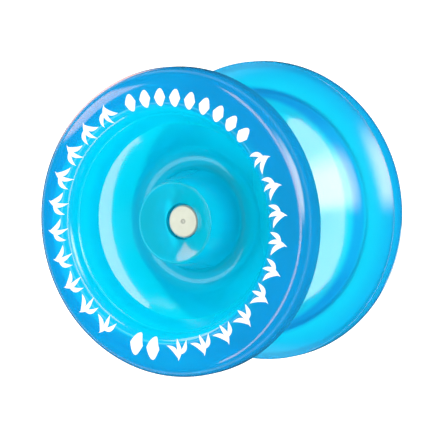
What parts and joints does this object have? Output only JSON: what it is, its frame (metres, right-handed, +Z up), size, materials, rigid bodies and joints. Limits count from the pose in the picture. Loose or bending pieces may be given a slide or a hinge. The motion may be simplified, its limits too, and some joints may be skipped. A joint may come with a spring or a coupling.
{
  "type": "yo-yo",
  "caption": "Ball-bearing yo-yo: flared clear cyan halves with cupped faces and hub posts, screwed together on an axle with a shielded bearing in a narrow string gap.",
  "frame": {"origin": "centre of the bearing, midway between the two halves on the axle", "axes": "+Y along the axle from the front half, which screws onto the fixed end, to the rear half, which screws off; +Z up as the yo-yo stands on its two rims"},
  "size_m": [0.0558, 0.043, 0.0558],
  "materials": {
    "clear_cyan_plastic": "clear, glossy, moulded",
    "axle_steel": "dark, oiled",
    "satin_nickel": "satin",
    "aluminium": "fine turned",
    "bearing_steel": "ground",
    "shield_steel": "pressed, satin",
    "cage_nylon": "moulded",
    "silicone": "soft, matt"
  },
  "bodies": {
    "front_assembly": {"front_half": "clear_cyan_plastic", "front_insert": "satin_nickel", "front_spacer": "aluminium", "front_response_pad": "silicone", "axle": "axle_steel", "inner_race": "bearing_steel"},
    "bearing_outer": {"outer_race": "bearing_steel", "front_shield": "shield_steel", "rear_shield": "shield_steel", "front_snap_ring": "axle_steel", "rear_snap_ring": "axle_steel"},
    "bearing_cage": {"ball_cage": "cage_nylon"},
    "ball_01_body": {"ball_01": "bearing_steel"},
    "ball_02_body": {"ball_02": "bearing_steel"},
    "ball_03_body": {"ball_03": "bearing_steel"},
    "ball_04_body": {"ball_04": "bearing_steel"},
    "ball_05_body": {"ball_05": "bearing_steel"},
    "ball_06_body": {"ball_06": "bearing_steel"},
    "ball_07_body": {"ball_07": "bearing_steel"},
    "ball_08_body": {"ball_08": "bearing_steel"},
    "ball_09_body": {"ball_09": "bearing_steel"},
    "ball_10_body": {"ball_10": "bearing_steel"},
    "rear_spacer_body": {"rear_spacer": "aluminium"},
    "rear_assembly": {"rear_half": "clear_cyan_plastic", "rear_insert": "satin_nickel", "rear_response_pad": "silicone"}
  },
  "joints": [
    {"name": "bearing_spin", "type": "hinge", "parent": "front_assembly", "child": "bearing_outer", "pos_m": [0, 0, 0], "axis": [0, 1, 0], "continuous": true},
    {"name": "cage_orbit", "type": "hinge", "parent": "front_assembly", "child": "bearing_cage", "pos_m": [0, 0, 0], "axis": [0, 1, 0], "continuous": true},
    {"name": "ball_01_spin", "type": "hinge", "parent": "bearing_cage", "child": "ball_01_body", "pos_m": [0.00476, 0, 0], "axis": [0, 1, 0], "continuous": true},
    {"name": "ball_02_spin", "type": "hinge", "parent": "bearing_cage", "child": "ball_02_body", "pos_m": [0.00385, 0, -0.0028], "axis": [0, 1, 0], "continuous": true},
    {"name": "ball_03_spin", "type": "hinge", "parent": "bearing_cage", "child": "ball_03_body", "pos_m": [0.00147, 0, -0.00453], "axis": [0, 1, 0], "continuous": true},
    {"name": "ball_04_spin", "type": "hinge", "parent": "bearing_cage", "child": "ball_04_body", "pos_m": [-0.00147, 0, -0.00453], "axis": [0, 1, 0], "continuous": true},
    {"name": "ball_05_spin", "type": "hinge", "parent": "bearing_cage", "child": "ball_05_body", "pos_m": [-0.00385, 0, -0.0028], "axis": [0, 1, 0], "continuous": true},
    {"name": "ball_06_spin", "type": "hinge", "parent": "bearing_cage", "child": "ball_06_body", "pos_m": [-0.00476, 0, 0], "axis": [0, 1, 0], "continuous": true},
    {"name": "ball_07_spin", "type": "hinge", "parent": "bearing_cage", "child": "ball_07_body", "pos_m": [-0.00385, 0, 0.0028], "axis": [0, 1, 0], "continuous": true},
    {"name": "ball_08_spin", "type": "hinge", "parent": "bearing_cage", "child": "ball_08_body", "pos_m": [-0.00147, 0, 0.00453], "axis": [0, 1, 0], "continuous": true},
    {"name": "ball_09_spin", "type": "hinge", "parent": "bearing_cage", "child": "ball_09_body", "pos_m": [0.00147, 0, 0.00453], "axis": [0, 1, 0], "continuous": true},
    {"name": "ball_10_spin", "type": "hinge", "parent": "bearing_cage", "child": "ball_10_body", "pos_m": [0.00385, 0, 0.0028], "axis": [0, 1, 0], "continuous": true},
    {"name": "rear_half_unscrew", "type": "hinge", "parent": "rear_spacer_body", "child": "rear_assembly", "pos_m": [0, 0, 0], "axis": [0, 1, 0], "range_deg": [0, 3240]},
    {"name": "rear_half_travel", "type": "slide", "parent": "front_assembly", "child": "rear_spacer_body", "axis": [0, 1, 0], "range_m": [0, 0.0063]}
  ],
  "couplings": [
    {"joint": "cage_orbit", "follows": "bearing_spin", "ratio": 0.58336},
    {"joint": "ball_01_spin", "follows": "bearing_spin", "ratio": 2.9157},
    {"joint": "ball_02_spin", "follows": "bearing_spin", "ratio": 2.9157},
    {"joint": "ball_03_spin", "follows": "bearing_spin", "ratio": 2.9157},
    {"joint": "ball_04_spin", "follows": "bearing_spin", "ratio": 2.9157},
    {"joint": "ball_05_spin", "follows": "bearing_spin", "ratio": 2.9157},
    {"joint": "ball_06_spin", "follows": "bearing_spin", "ratio": 2.9157},
    {"joint": "ball_07_spin", "follows": "bearing_spin", "ratio": 2.9157},
    {"joint": "ball_08_spin", "follows": "bearing_spin", "ratio": 2.9157},
    {"joint": "ball_09_spin", "follows": "bearing_spin", "ratio": 2.9157},
    {"joint": "ball_10_spin", "follows": "bearing_spin", "ratio": 2.9157},
    {"joint": "rear_half_travel", "follows": "rear_half_unscrew", "m_per_rad": 0.00011141}
  ]
}
